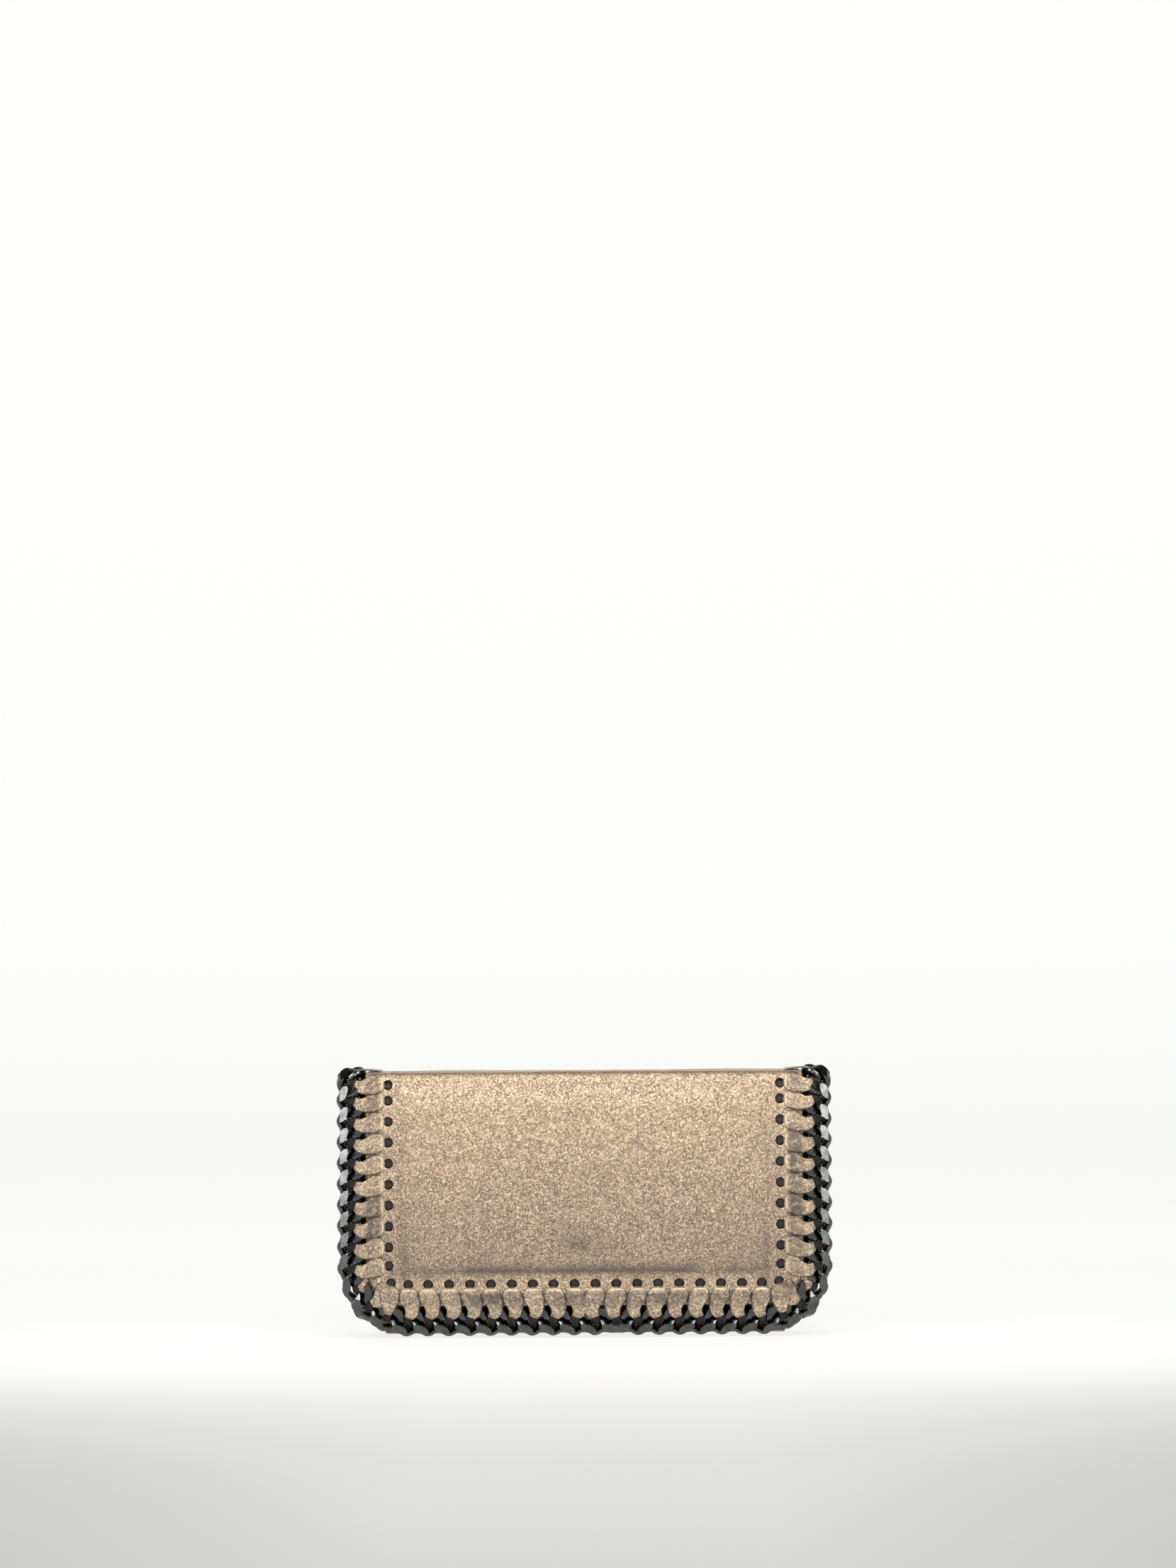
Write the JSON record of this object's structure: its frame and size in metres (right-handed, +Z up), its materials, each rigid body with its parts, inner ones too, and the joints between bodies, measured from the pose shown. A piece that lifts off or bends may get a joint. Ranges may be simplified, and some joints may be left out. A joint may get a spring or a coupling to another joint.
{
  "type": "fold-over wallet",
  "caption": "Long fold-over wallet with a hinged flap, card slots and a zipped coin pocket, its edge laced to a metal curb chain.",
  "frame": {"origin": "middle of the footprint, on the surface the wallet stands on", "axes": "+X along the wallet's width, -Y out of the flap's front, +Z up to the fold lines"},
  "size_m": [0.1904, 0.033, 0.1034],
  "materials": {
    "outer_leather": "crackled metallic rose gold",
    "inner_leather": "smooth taupe",
    "lining": "woven lining",
    "board": "bonded leather stiffener board",
    "chain_metal": "polished dark ruthenium plate",
    "fitting_metal": "dark plated",
    "zip_tape": "woven tape"
  },
  "bodies": {
    "body": {"back_board": "board", "back_chain_bottom": "chain_metal", "back_chain_joining_link": "chain_metal", "back_chain_left": "chain_metal", "back_chain_right": "chain_metal", "back_lace_bottom": "outer_leather", "back_lace_left": "outer_leather", "back_lace_right": "outer_leather", "back_leather": "outer_leather", "back_lining": "lining", "base_strip": "inner_leather", "gusset_front_left": "inner_leather", "gusset_front_right": "inner_leather", "gusset_rear_left": "inner_leather", "gusset_rear_right": "inner_leather", "rear_card_panel": "inner_leather", "rear_card_slots_left": "inner_leather", "rear_card_slots_right": "inner_leather"},
    "flap": {"flap_board": "board", "flap_chain_bottom": "chain_metal", "flap_chain_joining_link": "chain_metal", "flap_chain_left": "chain_metal", "flap_chain_right": "chain_metal", "flap_lace_bottom": "outer_leather", "flap_lace_left": "outer_leather", "flap_lace_right": "outer_leather", "flap_leather": "outer_leather", "flap_lining": "lining", "snap_socket": "fitting_metal"},
    "spine": {"fold_chain_front": "chain_metal", "fold_chain_rear": "chain_metal", "spine_chain_left": "chain_metal", "spine_chain_right": "chain_metal", "spine_lace_left": "outer_leather", "spine_lace_right": "outer_leather", "spine_leather": "outer_leather", "spine_lining": "lining"},
    "front_panel": {"front_board": "board", "front_card_slots_left": "inner_leather", "front_card_slots_right": "inner_leather", "front_leather": "inner_leather", "front_lining": "lining", "snap_stud": "fitting_metal"},
    "zip_pocket": {"zip_pocket_front_wall": "lining", "zip_pocket_rear_wall": "lining", "zip_stops": "fitting_metal", "zip_tape_front": "zip_tape", "zip_tape_rear": "zip_tape", "zip_teeth_front": "fitting_metal", "zip_teeth_rear": "fitting_metal"},
    "zip_pull": {"zip_pull": "fitting_metal"},
    "zip_slider": {"zip_slider": "fitting_metal"}
  },
  "joints": [
    {"name": "spine_fold", "type": "hinge", "parent": "body", "child": "spine", "pos_m": [0, 0.0132, 0.1001], "axis": [-1, 0, 0], "range_deg": [0, 90], "deforming": ["fold_chain_rear"]},
    {"name": "flap_fold", "type": "hinge", "parent": "spine", "child": "flap", "pos_m": [0, -0.0132, 0.1001], "axis": [-1, 0, 0], "range_deg": [0, 90], "deforming": ["fold_chain_front"]},
    {"name": "pocket_lean", "type": "hinge", "parent": "body", "child": "zip_pocket", "pos_m": [0, 0, 0.003], "axis": [1, 0, 0], "range_deg": [0, 6], "deforming": ["gusset_rear_left", "gusset_rear_right"]},
    {"name": "front_lean", "type": "hinge", "parent": "zip_pocket", "child": "front_panel", "pos_m": [0, -0.0075, 0.003], "axis": [1, 0, 0], "range_deg": [0, 6], "deforming": ["gusset_front_left", "gusset_front_right"]},
    {"name": "slider_travel", "type": "slide", "parent": "zip_pocket", "child": "zip_slider", "axis": [1, 0, 0], "range_m": [0, 0.112]},
    {"name": "pull_swing", "type": "hinge", "parent": "zip_slider", "child": "zip_pull", "pos_m": [-0.058, 0, 0.0836], "axis": [0, -1, 0], "range_deg": [0, 180]}
  ],
  "couplings": [
    {"joint": "flap_fold", "follows": "spine_fold", "ratio": 1},
    {"joint": "pocket_lean", "follows": "spine_fold", "ratio": 0.0666},
    {"joint": "front_lean", "follows": "spine_fold", "ratio": 0.0666}
  ]
}
